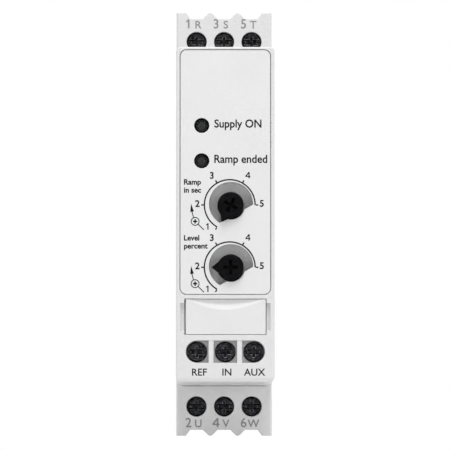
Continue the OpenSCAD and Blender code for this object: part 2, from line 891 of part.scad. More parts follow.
module thyristors() {
    leg_x = -leg_in - leg_t;
    tab_gap = 0.2;
    color("darkslategray") for (z = thyristor_zs) translate([sink_x, thyristor_y, z]) {
        slab(-thyristor_t, 0, -thyristor_w / 2, thyristor_w / 2, 0, thyristor_h);
        difference() {
            slab(-tab_t, 0, -thyristor_w / 2, thyristor_w / 2, thyristor_h - bite, thyristor_h + tab_h);
            translate([0, 0, thyristor_h + tab_h / 2]) rod_x(tab_screw_d + 2 * tab_gap, -2 * tab_t, over);
        }
        for (i = poles) translate([0, i * leg_pitch - leg_w / 2, -leg_drop]) {
            translate([leg_x, 0, 0]) cube([leg_t, leg_w, leg_drop + bite]);
            translate([board_face - sink_x, 0, 0]) cube([leg_x + leg_t - board_face + sink_x, leg_w, leg_t]);
        }
    }
}

module heat_sink_screws() {
    slot_t = 0.8;
    slot_depth = 0.9;
    thread_gap = 0.05;
    far = -tab_t - tab_screw_head_t;
    color("dimgray") for (z = thyristor_zs) translate([sink_x, thyristor_y, tab_hole_z(z)]) {
        rod_x(tab_screw_d - 2 * thread_gap, -tab_t - bite, sink_base_t);
        difference() {
            rod_x(tab_screw_head_d, far, -tab_t);
            slab(far - over, far + slot_depth, -tab_screw_head_d, tab_screw_head_d, -slot_t / 2, slot_t / 2);
        }
    }
}

module bypass_relay() {
    color("darkorange")
        slab(board_face, board_face + relay_w, relay_y, relay_y + relay_d, relay_z, relay_z + relay_h);
}

module supply_capacitor() {
    color("midnightblue") translate([0, capacitor_y, capacitor_z])
        rod_x(capacitor_d, board_face, board_face + capacitor_l);
}

module varistor() {
    lead_d = 0.8;
    stand_off = 3;
    color("steelblue") translate([board_face, varistor_y, varistor_z]) {
        translate([stand_off + varistor_d / 2, 0, 0]) rod_y(varistor_d, -varistor_t / 2, varistor_t / 2);
        for (s = [-1, 1]) translate([0, s * varistor_t * 0.3, s * varistor_d / 4])
            rod_x(lead_d, 0, stand_off + varistor_d / 4);
    }
}

// Rail latch: a T-shaped slide with a jaw above and a slot for a screwdriver below
module rail_latch() {
    jaw_z = hook_reach - rail_edge;
    back_y = y_back - 0.2;
    wing_top = -rail_edge - 3;
    window_top = stop_z + spring_l + spring_room;
    pull_w = 6;
    pull_h = 1.8;
    pull_z = latch_low + 2.4;
    wide = latch_w / 2 + latch_t_w;
    color("dimgray") difference() {
        union() {
            across(latch_w) polygon([
                [rail_flange, latch_low], [back_y, latch_low], [back_y, jaw_z - latch_lead],
                [rail_flange + latch_lead, jaw_z], [rail_flange, jaw_z]
            ]);
            slab(-wide, wide, rail_flange, rail_flange + latch_t_t, latch_low, wing_top);
        }
        slab(-stop_w / 2 - latch_gap, stop_w / 2 + latch_gap, 0, y_back + over,
            stop_z - stop_t - latch_gap, window_top);
        slab(-pull_w / 2, pull_w / 2, 0, y_back + over, pull_z, pull_z + pull_h);
    }
}

// Coil spring between the housing's stop and the latch
function coil_point(turn, r, pitch) = [r * cos(360 * turn), r * sin(360 * turn), pitch * turn];

module latch_spring() {
    sides = 8;
    per_turn = 14;
    r = (spring_d - spring_wire) / 2;
    pitch = (spring_l - spring_wire) / spring_turns;
    rings = spring_turns * per_turn;
    points = [
        for (k = [0 : rings], s = [0 : sides - 1])
            let (turn = k / per_turn, a = 360 * s / sides, reach = r + spring_wire / 2 * cos(a))
                coil_point(turn, reach, pitch) + [0, 0, spring_wire / 2 * sin(a)]
    ];
    walls = [
        for (k = [0 : rings - 1], s = [0 : sides - 1])
            let (near = k * sides, far = near + sides, next = (s + 1) % sides)
                [near + s, far + s, far + next, near + next]
    ];
    caps = [[for (s = [0 : sides - 1]) s], [for (s = [sides - 1 : -1 : 0]) rings * sides + s]];
    color("silver") translate([0, spring_y, stop_z + spring_wire / 2])
        polyhedron(points, concat(walls, caps));
}

base_housing();
front_cover();
front_panel();
marker_plate();
power_block();  // upper_terminal_block
mirror_lower(true) power_block();  // lower_terminal_block
control_block();  // control_terminal_block
power_board();
control_board();
board_link();
pot(0);  // start_time_pot
pot(1);  // initial_voltage_pot
lamp(0, "darkgreen");  // power_lamp
lamp(1, "darkgoldenrod");  // run_lamp
heat_sink();
heat_sink_screws();
thyristors();
bypass_relay();
supply_capacitor();
varistor();
power_bars(false);  // line_bars
power_bars(true);  // load_bars
control_bars();
knob(0, 242);  // start_time_knob
spindle(0);  // start_time_spindle
knob(1, 180);  // initial_voltage_knob
spindle(1);  // initial_voltage_spindle
rail_latch();
latch_spring();
for (group = ["line", "load", "control"], i = poles) {
    at_pole(group, i) clamp_screw();
    at_pole(group, i) clamp_cage();
}
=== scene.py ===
import json
import math

import bmesh
import bpy
from mathutils import Matrix, Vector


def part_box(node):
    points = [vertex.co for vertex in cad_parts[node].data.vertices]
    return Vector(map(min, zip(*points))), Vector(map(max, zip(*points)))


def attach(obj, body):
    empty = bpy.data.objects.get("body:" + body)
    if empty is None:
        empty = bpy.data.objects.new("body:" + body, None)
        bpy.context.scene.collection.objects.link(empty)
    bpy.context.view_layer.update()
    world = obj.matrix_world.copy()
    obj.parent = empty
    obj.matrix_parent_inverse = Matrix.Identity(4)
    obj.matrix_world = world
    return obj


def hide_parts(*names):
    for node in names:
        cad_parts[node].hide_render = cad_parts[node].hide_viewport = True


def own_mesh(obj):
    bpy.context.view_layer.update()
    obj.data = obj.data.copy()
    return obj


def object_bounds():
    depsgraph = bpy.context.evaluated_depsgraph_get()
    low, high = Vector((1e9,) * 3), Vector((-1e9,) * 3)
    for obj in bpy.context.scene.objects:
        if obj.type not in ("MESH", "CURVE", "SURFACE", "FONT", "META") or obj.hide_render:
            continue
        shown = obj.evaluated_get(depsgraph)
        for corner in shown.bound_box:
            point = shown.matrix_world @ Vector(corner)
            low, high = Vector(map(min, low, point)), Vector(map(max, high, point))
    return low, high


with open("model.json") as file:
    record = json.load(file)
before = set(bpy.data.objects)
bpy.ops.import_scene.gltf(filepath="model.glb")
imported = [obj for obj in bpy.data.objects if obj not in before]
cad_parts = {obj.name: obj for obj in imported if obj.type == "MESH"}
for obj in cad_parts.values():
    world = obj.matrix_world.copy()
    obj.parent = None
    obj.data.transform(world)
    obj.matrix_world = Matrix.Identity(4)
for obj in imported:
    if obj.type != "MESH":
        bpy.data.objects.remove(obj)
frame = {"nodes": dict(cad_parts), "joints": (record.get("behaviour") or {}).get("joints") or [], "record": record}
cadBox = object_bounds()
nodes = frame["nodes"]
joints = {joint["name"]: joint for joint in frame["joints"]}
mm = 0.001
print("frame loaded:", len(nodes), "nodes")

# Front surfaces that carry the marks
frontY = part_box("front_cover")[0].y
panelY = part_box("front_panel")[0].y
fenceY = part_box("base_housing")[0].y


# sRGB hex to the linear colour that shaders take
def linear(hexColour):
    channels = [int(hexColour[i:i + 2], 16) / 255 for i in (1, 3, 5)]
    return [c / 12.92 if c <= 0.04045 else ((c + 0.055) / 1.055) ** 2.4 for c in channels] + [1.0]


# Materials
def addNode(tree, kind, settings=None, links=None):
    node = tree.nodes.new(kind)
    for key, value in (settings or {}).items():
        if key in node.inputs:
            node.inputs[key].default_value = value
        else:
            setattr(node, key, value)
    for key, source in (links or {}).items():
        tree.links.new(source, node.inputs[key])
    return node


def newMaterial(name):
    material = bpy.data.materials.new(name)
    material.use_nodes = True
    tree = material.node_tree
    tree.nodes.clear()
    return material, tree


# Plastics, inks and coatings: an even colour with a faint mottle, a fine grain and softened edges. A real
# moulded grain is a few hundredths of a millimetre, too fine to show, so each is drawn several times coarser
plasticPattern = {
    "mottleDetail": 7.0, "mottleRoughness": 0.62, "darkAt": 0.3, "lightAt": 0.7,
    "grainDetail": 2.0, "grainHeight": 0.15 * mm, "glossSpread": 0.05, "edgeSamples": 6,
}


def plasticFinish(name, look):
    material, tree = newMaterial(name)
    place = addNode(tree, "ShaderNodeTexCoord").outputs["Object"]
    mottle = addNode(tree, "ShaderNodeTexNoise",
                     {"Scale": 1 / (look["mottle"] * mm), "Detail": plasticPattern["mottleDetail"],
                      "Roughness": plasticPattern["mottleRoughness"]},
                     {"Vector": place})
    ramp = addNode(tree, "ShaderNodeValToRGB", links={"Fac": mottle.outputs["Fac"]})
    ramp.color_ramp.elements[0].position = plasticPattern["darkAt"]
    ramp.color_ramp.elements[1].position = plasticPattern["lightAt"]
    ramp.color_ramp.elements[0].color = linear(look["dark"])
    ramp.color_ramp.elements[1].color = linear(look["light"])
    grain = addNode(tree, "ShaderNodeTexNoise",
                    {"Scale": 1 / (look["grain"] * mm), "Detail": plasticPattern["grainDetail"]},
                    {"Vector": place})
    edge = addNode(tree, "ShaderNodeBevel",
                   {"Radius": look["edge"] * mm, "samples": plasticPattern["edgeSamples"]})
    bump = addNode(tree, "ShaderNodeBump",
                   {"Strength": look["bump"], "Distance": plasticPattern["grainHeight"]},
                   {"Height": grain.outputs["Fac"], "Normal": edge.outputs["Normal"]})
    rough = addNode(tree, "ShaderNodeMapRange",
                    {"To Min": look["roughness"] - plasticPattern["glossSpread"],
                     "To Max": look["roughness"] + plasticPattern["glossSpread"]},
                    {"Value": mottle.outputs["Fac"]})
    shader = addNode(tree, "ShaderNodeBsdfPrincipled",
                     {"IOR": look["ior"], "Specular IOR Level": look["shine"]},
                     {"Base Color": ramp.outputs["Color"], "Roughness": rough.outputs["Result"],
                      "Normal": bump.outputs["Normal"]})
    addNode(tree, "ShaderNodeOutputMaterial", links={"Surface": shader.outputs["BSDF"]})
    return material


# Metals: a duller film in patches, and a paler colour where the surface bends sharply, which is partly wear and
# partly a painted highlight on the edges. The bend is the cosine between the rounded edge's normal and the plain
# one
metalPattern = {
    "filmDetail": 4.0, "filmHeight": 0.01 * mm, "darkAt": 0.35, "lightAt": 0.65, "wornAndHighlightAt": 1.0,
    "flatBend": 0.99, "sharpBend": 0.85, "shinier": 0.06, "duller": 0.08, "edgeSamples": 6,
}


def metalFinish(name, look):
    material, tree = newMaterial(name)
    place = addNode(tree, "ShaderNodeTexCoord").outputs["Object"]
    film = addNode(tree, "ShaderNodeTexNoise",
                   {"Scale": 1 / (look["film"] * mm), "Detail": metalPattern["filmDetail"]},
                   {"Vector": place})
    edge = addNode(tree, "ShaderNodeBevel",
                   {"Radius": look["edge"] * mm, "samples": metalPattern["edgeSamples"]})
    shape = addNode(tree, "ShaderNodeNewGeometry")
    bend = addNode(tree, "ShaderNodeVectorMath", {"operation": "DOT_PRODUCT"},
                   {0: edge.outputs["Normal"], 1: shape.outputs["Normal"]})
    # Edges are painted paler here: partly wear, partly a painted highlight
    edgeWearAndHighlight = addNode(tree, "ShaderNodeMapRange",
                  {"From Min": metalPattern["flatBend"], "From Max": metalPattern["sharpBend"],
                   "To Max": look["edgeWearAndHighlight"]},
                  {"Value": bend.outputs["Value"]})
    tone = addNode(tree, "ShaderNodeMath", {"operation": "ADD"},
                   {0: film.outputs["Fac"], 1: edgeWearAndHighlight.outputs["Result"]})
    ramp = addNode(tree, "ShaderNodeValToRGB", links={"Fac": tone.outputs["Value"]})
    ramp.color_ramp.elements[0].position = metalPattern["darkAt"]
    ramp.color_ramp.elements[1].position = metalPattern["lightAt"]
    ramp.color_ramp.elements[0].color = linear(look["dark"])
    ramp.color_ramp.elements[1].color = linear(look["light"])
    ramp.color_ramp.elements.new(metalPattern["wornAndHighlightAt"]).color = linear(look["wornAndHighlightColour"])
    rough = addNode(tree, "ShaderNodeMapRange",
                    {"To Min": look["roughness"] - metalPattern["shinier"],
                     "To Max": look["roughness"] + metalPattern["duller"]},
                    {"Value": film.outputs["Fac"]})
    bump = addNode(tree, "ShaderNodeBump",
                   {"Strength": look["bump"], "Distance": metalPattern["filmHeight"]},
                   {"Height": film.outputs["Fac"], "Normal": edge.outputs["Normal"]})
    shader = addNode(tree, "ShaderNodeBsdfPrincipled", {"Metallic": look["metallic"]},
                     {"Base Color": ramp.outputs["Color"], "Roughness": rough.outputs["Result"],
                      "Normal": bump.outputs["Normal"]})
    addNode(tree, "ShaderNodeOutputMaterial", links={"Surface": shader.outputs["BSDF"]})
    return material


# Sizes of mottle, grain, film and edge are in millimetres
plasticLooks = {
    # Filled polycarbonate from a spark-eroded mould: pale grey and matt, with edges that catch a soft light
    "mouldedPolycarbonate": {
        "dark": "#e0e0e0", "light": "#e3e3e3", "roughness": 0.5, "ior": 1.58, "shine": 0.5,
        "mottle": 9.0, "grain": 0.4, "bump": 0.6, "edge": 0.18,
    },
    # The same plastic from a finer mould: a shade lighter and a little smoother
    "coverPolycarbonate": {
        "dark": "#e2e2e2", "light": "#e5e5e5", "roughness": 0.48, "ior": 1.58, "shine": 0.5,
        "mottle": 9.0, "grain": 0.4, "bump": 0.6, "edge": 0.18,
    },
    # Hard-coated polyester foil: nearly white and flatter than the mouldings round it
    "printedPolyesterFoil": {
        "dark": "#e7e7e7", "light": "#ebebeb", "roughness": 0.42, "ior": 1.6, "shine": 0.5,
        "mottle": 12.0, "grain": 0.3, "bump": 0.2, "edge": 0.06,
    },
    # Polycarbonate from a polished mould: a clean white that reads as the blank place to write on
    "markerPolycarbonate": {
        "dark": "#e6e6e6", "light": "#eaeaea", "roughness": 0.45, "ior": 1.58, "shine": 0.5,
        "mottle": 8.0, "grain": 0.25, "bump": 0.25, "edge": 0.1,
    },
    # Glass-filled polyamide, dull, coloured a mid grey that stands in for shade, so that the recesses round the
    # screws look deep
    "shadeGreyPolyamide": {
        "dark": "#b4b4b4", "light": "#bcbcbc", "roughness": 0.55, "ior": 1.53, "shine": 0.5,
        "mottle": 5.0, "grain": 0.25, "bump": 0.3, "edge": 0.12,
    },
    # Glass-filled polyamide in black, scuffed by use: deep black with hardly any shine and paler fibre specks,
    # which are drawn coarser than real fibres so that they show
    "blackPolyamide": {
        "dark": "#020203", "light": "#161618", "roughness": 0.55, "ior": 1.53, "shine": 0.04,
        "mottle": 0.7, "grain": 0.25, "bump": 0.7, "edge": 0.15,
    },
    # Unfilled polyamide in dark grey: a low, slightly waxy shine
    "latchPolyamide": {
        "dark": "#26272a", "light": "#2d2e31", "roughness": 0.5, "ior": 1.53, "shine": 0.25,
        "mottle": 5.0, "grain": 0.25, "bump": 0.4, "edge": 0.15,
    },
    # Smoked acrylic over an unlit lamp: near black, smooth enough for a clear glint
    "smokedLens": {
        "dark": "#191a1b", "light": "#232425", "roughness": 0.16, "ior": 1.5, "shine": 0.35,
        "mottle": 1.2, "grain": 0.4, "bump": 0.05, "edge": 0.05,
    },
    # Epoxy solder mask on glass cloth: half-gloss green, a little uneven
    "solderMask": {
        "dark": "#1c5a38", "light": "#22663f", "roughness": 0.4, "ior": 1.55, "shine": 0.5,
        "mottle": 3.0, "grain": 0.6, "bump": 0.3, "edge": 0.05,
    },
    # Moulded nylon: plain half-matt black
    "connectorNylon": {
        "dark": "#161616", "light": "#1d1d1d", "roughness": 0.5, "ior": 1.53, "shine": 0.5,
        "mottle": 3.0, "grain": 0.3, "bump": 0.3, "edge": 0.08,
    },
    # Moulded polyester of small potentiometers: an even mid blue
    "trimmerPlastic": {
        "dark": "#24477e", "light": "#2b5290", "roughness": 0.45, "ior": 1.53, "shine": 0.5,
        "mottle": 3.0, "grain": 0.3, "bump": 0.2, "edge": 0.08,
    },
    # Turned acetal: waxy ivory
    "spindleAcetal": {
        "dark": "#dcd8cb", "light": "#e3dfd3", "roughness": 0.45, "ior": 1.48, "shine": 0.5,
        "mottle": 3.0, "grain": 0.3, "bump": 0.2, "edge": 0.08,
    },
    # Transfer-moulded epoxy: dull black, finely pitted
    "epoxyCase": {
        "dark": "#141414", "light": "#1b1b1b", "roughness": 0.6, "ior": 1.55, "shine": 0.5,
        "mottle": 3.0, "grain": 0.2, "bump": 0.4, "edge": 0.08,
    },
    # Moulded polyester of relay covers: warm amber
    "relayPolyester": {
        "dark": "#b97424", "light": "#c37d2b", "roughness": 0.45, "ior": 1.57, "shine": 0.5,
        "mottle": 6.0, "grain": 0.3, "bump": 0.2, "edge": 0.15,
    },
    # Shrunk vinyl sleeve: tight, dark blue and shiny
    "shrinkSleeve": {
        "dark": "#14172a", "light": "#1a1e33", "roughness": 0.28, "ior": 1.54, "shine": 0.5,
        "mottle": 4.0, "grain": 0.5, "bump": 0.15, "edge": 0.2,
    },
    # Dipped epoxy coat: blue and wet-looking, with rounded edges
    "dippedCoating": {
        "dark": "#2a4a7c", "light": "#315489", "roughness": 0.25, "ior": 1.55, "shine": 0.5,
        "mottle": 4.0, "grain": 0.7, "bump": 0.3, "edge": 0.3,
    },
    # Screen-printed ink: flat black with hardly any shine
    "blackInk": {
        "dark": "#141415", "light": "#1a1a1b", "roughness": 0.55, "ior": 1.5, "shine": 0.1,
        "mottle": 1.0, "grain": 0.1, "bump": 0.1, "edge": 0.01,
    },
    # Thin pad-printed ink: mid grey, so the marks stay quiet on the pale fences
    "greyInk": {
        "dark": "#8d8d8f", "light": "#979799", "roughness": 0.55, "ior": 1.5, "shine": 0.2,
        "mottle": 1.0, "grain": 0.1, "bump": 0.1, "edge": 0.01,
    },
}
metalLooks = {
    # Blackened and oiled steel: near black in uneven patches, painted pale grey along the edges of heads and
    # slots, partly as wear and partly as a painted highlight
    "blackenedSteel": {
        "dark": "#101012", "light": "#3a3a3d", "wornAndHighlightColour": "#a4a5a7", "edgeWearAndHighlight": 0.62, "roughness": 0.36,
        "metallic": 1.0, "film": 0.7, "bump": 0.6, "edge": 0.14,
    },
    # Zinc-plated steel: light grey with a soft shine, and edges painted brighter, partly as wear and partly as a
    # painted highlight
    "zincPlatedSteel": {
        "dark": "#a5a6a8", "light": "#bdbec0", "wornAndHighlightColour": "#d2d3d5", "edgeWearAndHighlight": 0.4, "roughness": 0.34,
        "metallic": 1.0, "film": 1.2, "bump": 0.2, "edge": 0.08,
    },
    # Extruded aluminium: pale and silky, with the edges of the fins painted brightest, partly as wear and partly
    # as a painted highlight
    "extrudedAluminium": {
        "dark": "#b4b6b8", "light": "#c6c8ca", "wornAndHighlightColour": "#dadcde", "edgeWearAndHighlight": 0.4, "roughness": 0.38,
        "metallic": 1.0, "film": 2.0, "bump": 0.2, "edge": 0.1,
    },
    # Thinly tinned copper: pale, with the copper showing warm through the tin, and edges painted paler, partly as
    # wear and partly as a painted highlight
    "tinnedCopper": {
        "dark": "#b98f6d", "light": "#c9a384", "wornAndHighlightColour": "#dab89c", "edgeWearAndHighlight": 0.4, "roughness": 0.32,
        "metallic": 1.0, "film": 1.5, "bump": 0.2, "edge": 0.06,
    },
}
materials = {name: plasticFinish(name, look) for name, look in plasticLooks.items()}
materials.update({name: metalFinish(name, look) for name, look in metalLooks.items()})

finishOfSlot = {
    "housing_plastic": "mouldedPolycarbonate",
    "cover_plastic": "coverPolycarbonate",
    "panel_foil": "printedPolyesterFoil",
    "marker_plastic": "markerPolycarbonate",
    # Terminal blocks take a grey that is painted shade in the recesses
    "terminal_plastic": "shadeGreyPolyamide",
    "circuit_board": "solderMask",
    "connector_plastic": "connectorNylon",
    "pot_plastic": "trimmerPlastic",
    "lamp_lens": "smokedLens",
    "heat_sink_metal": "extrudedAluminium",
    "semiconductor_case": "epoxyCase",
    "relay_case": "relayPolyester",
    "capacitor_sleeve": "shrinkSleeve",
    "varistor_coating": "dippedCoating",
    "contact_bar_metal": "tinnedCopper",
    "knob_plastic": "blackPolyamide",
    "spindle_plastic": "spindleAcetal",
    "latch_plastic": "latchPolyamide",
    "spring_steel": "zincPlatedSteel",
    "screw_steel": "blackenedSteel",
    "cage_steel": "zincPlatedSteel",
}
for part in frame["record"]["subparts"]:
    data = nodes[part["node"]].data
    data.materials.clear()
    data.materials.append(materials[finishOfSlot[part["material_slot"]]])
print("materials set:", len(materials))


def keepPiece(name, mesh, finish):
    mesh.materials.clear()
    mesh.materials.append(materials[finish])
    piece = bpy.data.objects.new(name, mesh)
    bpy.context.scene.collection.objects.link(piece)
    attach(piece, "module")
    return piece


# Coil spring behind the rail latch: a round wire wound along a helix, fixed to the module
springLook = {"wire": 0.5 * mm, "turns": 6, "stepsPerTurn": 28, "wireSides": 12, "shortened": 0.62}


def addLatchSpring():
    low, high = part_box("latch_spring")
    middle = (low + high) / 2
    wire = springLook["wire"]
    steps = springLook["turns"] * springLook["stepsPerTurn"]
    foot = Matrix.Translation((high.x - wire / 2, middle.y, low.z + wire / 2))
    bm = bmesh.new()
    bmesh.ops.create_circle(bm, segments=springLook["wireSides"], radius=wire / 2,
                            matrix=foot @ Matrix.Rotation(math.pi / 2, 4, "X"))
    bmesh.ops.spin(bm, geom=bm.verts[:] + bm.edges[:], cent=middle, axis=(0, 0, 1), steps=steps,
                   dvec=(0, 0, (high.z - low.z - wire) / steps), angle=2 * math.pi * springLook["turns"])
    bmesh.ops.holes_fill(bm, edges=bm.edges, sides=springLook["wireSides"])
    bmesh.ops.recalc_face_normals(bm, faces=bm.faces)
    for face in bm.faces:
        face.smooth = len(face.verts) == 4  # the wire's flat ends stay sharp
    mesh = bpy.data.meshes.new("latchCoil")
    bm.to_mesh(mesh)
    bm.free()
    coil = keepPiece("latchCoil", mesh, "zincPlatedSteel")
    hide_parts("latch_spring")
    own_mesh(coil)


addLatchSpring()
print("latch spring wound")


# Printed marks: thin solids that stand a little proud of the surface under them
inkLook = {"height": 0.02 * mm, "curveSteps": 4, "endSides": 8}
inkHeight = inkLook["height"]
mergeDistance = inkHeight / 20


def textMesh(words, size, bold=0.0):
    curve = bpy.data.curves.new("lettering", "FONT")
    curve.body = words
    curve.size = size
    curve.offset = bold * size
    curve.extrude = inkHeight
    curve.resolution_u = inkLook["curveSteps"]
    holder = bpy.data.objects.new("lettering", curve)
    bpy.context.scene.collection.objects.link(holder)
    bpy.context.view_layer.update()
    mesh = bpy.data.meshes.new_from_object(holder.evaluated_get(bpy.context.evaluated_depsgraph_get()))
    bpy.data.objects.remove(holder)
    return mesh


def spanOf(mesh, axis):
    values = [v.co[axis] for v in mesh.vertices]
    return min(values), max(values)


# Height of a capital as a share of the font's size
capLow, capHigh = spanOf(textMesh("H", 1.0), 1)
capShare = capHigh - capLow


# Text facing the front with its capitals centred at a height, placed by its middle or its left end
def addWords(name, words, style, x, z, y, side="middle"):
    mesh = textMesh(words, style["height"] / capShare, style["bold"])
    mesh.transform(Matrix.Diagonal((style["widen"], 1, 1, 1)))
    low, high = spanOf(mesh, 0)
    start = low if side == "left" else (low + high) / 2
    mesh.transform(Matrix.Translation((-start, -style["height"] / 2, 0)))
    mesh.transform(Matrix.Translation((x, y, z)) @ Matrix.Rotation(math.pi / 2, 4, "X"))
    keepPiece(name, mesh, style["finish"])


# Straight line on the panel
def addBar(bm, start, end, width):
    along = Vector(end) - Vector(start)
    middle = (Vector(start) + Vector(end)) / 2
    place = Matrix.Translation((middle.x, panelY, middle.y))
    turn = Matrix.Rotation(-math.atan2(along.y, along.x), 4, "Y")
    size = Matrix.Diagonal((along.length, 2 * inkHeight, width, 1))
    bmesh.ops.create_cube(bm, size=1, matrix=place @ turn @ size)


# Curved line on the panel, as a small section spun round the centre
def addArc(bm, centre, radius, width, startAngle, endAngle, steps):
    corners = [(radius - width / 2, -inkHeight), (radius + width / 2, -inkHeight),
               (radius + width / 2, inkHeight), (radius - width / 2, inkHeight)]
    middle = (centre[0], panelY, centre[1])
    place = Matrix.Translation(middle) @ Matrix.Rotation(-math.radians(startAngle), 4, "Y")
    sweep = endAngle - startAngle
    section = bm.faces.new([bm.verts.new(place @ Vector((r, depth, 0))) for r, depth in corners])
    bmesh.ops.spin(bm, geom=[section], cent=middle, axis=(0, -1, 0), angle=math.radians(sweep), steps=steps,
                   use_merge=sweep >= 360)


def meshFrom(bm, name):
    bmesh.ops.remove_doubles(bm, verts=bm.verts, dist=mergeDistance)
    bmesh.ops.holes_fill(bm, edges=bm.edges, sides=inkLook["endSides"])
    bmesh.ops.recalc_face_normals(bm, faces=bm.faces)
    mesh = bpy.data.meshes.new(name)
    bm.to_mesh(mesh)
    bm.free()
    return mesh


# Flat shapes that meet along whole edges, drawn as one solid
def outlineMesh(name, outlines, y):
    bm = bmesh.new()
    for outline in outlines:
        bm.faces.new([bm.verts.new((x, y - inkHeight, z)) for x, z in outline])
    bmesh.ops.remove_doubles(bm, verts=bm.verts, dist=mergeDistance)
    pulled = bmesh.ops.extrude_face_region(bm, geom=bm.faces[:], use_keep_orig=True)["geom"]
    pulledVerts = [v for v in pulled if isinstance(v, bmesh.types.BMVert)]
    bmesh.ops.translate(bm, vec=(0, 2 * inkHeight, 0), verts=pulledVerts)
    return meshFrom(bm, name)


# Figures of the marks' own design, as shares of their height: a one with a flag, and a closed four whose bar,
# stem and slope meet round its opening
stemFoot, slopeFoot, slopeTop = (0.08, -0.11), (-0.18, -0.11), (0.08, 0.23)
figureShapes = {
    "1": (((-0.09, -0.5), (0.09, -0.5), (0.09, 0.5), (-0.04, 0.5), (-0.28, 0.32), (-0.28, 0.15),
           (-0.09, 0.27)),),
    "4": (((-0.39, -0.27), (0.08, -0.27), (0.08, -0.5), (0.26, -0.5), (0.26, -0.27), (0.38, -0.27),
           (0.38, -0.11), (0.26, -0.11), stemFoot, slopeFoot, (-0.39, -0.11)),
          ((0.26, -0.11), (0.26, 0.5), (0.08, 0.5), slopeTop, stemFoot),
          ((-0.39, -0.11), slopeFoot, slopeTop, (0.08, 0.5))),
}


# A figure with an own outline, or else from the font
def addFigure(name, figure, style, x, z, y):
    if figure not in figureShapes:
        addWords(name, figure, style, x, z, y)
        return
    high = style["height"]
    outlines = [[(x + across * high, z + up * high) for across, up in outline]
                for outline in figureShapes[figure]]
    keepPiece(name, outlineMesh(name, outlines, y), style["finish"])


def printOnPanel(name, mesh):
    keepPiece(name, mesh, "blackInk")


def aroundDial(centre, radius, angle):
    a = math.radians(angle)
    return (centre.x + radius * math.cos(a), centre.z + radius * math.sin(a))


# Dial scales: the numbers' places are an angle and a radius around the scale's own centre, which is a little
# left of the knob
dialMarks = {
    "shift": Vector((-0.19, 0, 0.05)) * mm, "radius": 5.8 * mm, "line": 0.31 * mm, "tick": 0.56 * mm,
    "angles": (240, 180, 120, 60, 0), "steps": 60,
    "numbers": ((224.6, 7.0 * mm), (177.6, 7.4 * mm), (121.2, 7.92 * mm), (58.7, 8.0 * mm), (2.9, 7.32 * mm)),
}
numberStyle = {"height": 1.46 * mm, "bold": 0.024, "widen": 1.0, "finish": "blackInk", "slot": "panel_foil"}


def addDialScale(name, centre):
    arc = bmesh.new()
    first, last = dialMarks["angles"][-1], dialMarks["angles"][0]
    addArc(arc, (centre.x, centre.z), dialMarks["radius"], dialMarks["line"], first, last, dialMarks["steps"])
    printOnPanel(name + "Scale", meshFrom(arc, name + "Scale"))
    ticks = bmesh.new()
    rim = dialMarks["radius"] + dialMarks["line"] / 2
    for angle in dialMarks["angles"]:
        addBar(ticks, aroundDial(centre, rim, angle), aroundDial(centre, rim + dialMarks["tick"], angle),
               dialMarks["line"])
    printOnPanel(name + "Ticks", meshFrom(ticks, name + "Ticks"))
    for number, (angle, radius) in enumerate(dialMarks["numbers"], 1):
        x, z = aroundDial(centre, radius, angle)
        addFigure(f"{name}Number{number}", str(number), numberStyle, x, z, panelY)


# Sign for turning with a screwdriver: a ring with a cross on a curved arrow
turnSign = {
    "radius": 8.75 * mm, "line": 0.2 * mm, "start": 190, "arcSteps": 12,
    "ringAngle": 205.4, "ringRadius": 0.9 * mm, "ringSteps": 32, "cross": 1.0 * mm, "crossLine": 0.32 * mm,
    "tailAngle": 224, "tailRadius": 8.19 * mm, "head": 1.85 * mm, "headHalf": 0.41 * mm, "tipOut": 1.01,
}


def addTurnSign(name, centre):
    middle = (centre.x, centre.z)
    radius, line, start = turnSign["radius"], turnSign["line"], turnSign["start"]
    ring = aroundDial(centre, radius, turnSign["ringAngle"])
    gap = math.degrees(turnSign["ringRadius"] / radius)
    arrow = bmesh.new()
    addArc(arrow, middle, radius, line, start, turnSign["ringAngle"] - gap, turnSign["arcSteps"])
    tail = aroundDial(centre, turnSign["tailRadius"], turnSign["tailAngle"])
    share = turnSign["ringRadius"] / math.dist(ring, tail)
    addBar(arrow, [r + share * (t - r) for r, t in zip(ring, tail)], tail, line)
    printOnPanel(name + "Arrow", meshFrom(arrow, name + "Arrow"))
    circle = bmesh.new()
    addArc(circle, ring, turnSign["ringRadius"], line, 0, 360, turnSign["ringSteps"])
    printOnPanel(name + "Ring", meshFrom(circle, name + "Ring"))
    arm, half = turnSign["cross"] / 2, turnSign["crossLine"] / 2
    quarter = ((half, -half), (arm, -half), (arm, half))
    turns = [Matrix.Rotation(math.radians(angle), 2) for angle in (0, 90, 180, 270)]
    plus = [Vector(ring) + turn @ Vector(corner) for turn in turns for corner in quarter]
    printOnPanel(name + "Cross", outlineMesh(name + "Cross", [plus], panelY))
    tip = aroundDial(centre, radius * turnSign["tipOut"], start - math.degrees(turnSign["head"] / radius))
    inner = aroundDial(centre, radius - turnSign["headHalf"], start)
    outer = aroundDial(centre, radius + turnSign["headHalf"], start)
    printOnPanel(name + "ArrowHead", outlineMesh(name + "ArrowHead", [(tip, inner, outer)], panelY))


dials = {
    "startTime": {"joint": "start_time_turn", "words": ("Ramp", "in sec"), "above": 5.28 * mm},
    "initialVoltage": {"joint": "initial_voltage_turn", "words": ("Level", "percent"), "above": 6.74 * mm},
}
captionStyle = {"height": 1.18 * mm, "bold": 0.028, "widen": 1.0, "finish": "blackInk", "slot": "panel_foil",
                "left": -9.45 * mm, "lineStep": 1.84 * mm}
for name, dial in dials.items():
    centre = Vector(joints[dial["joint"]]["pos_m"]) + dialMarks["shift"]
    addDialScale(name, centre)
    addTurnSign(name, centre)
    for row, words in enumerate(dial["words"]):
        z = centre.z + dial["above"] - row * captionStyle["lineStep"]
        addWords(f"{name}Caption{row + 1}", words, captionStyle, captionStyle["left"], z, panelY, "left")

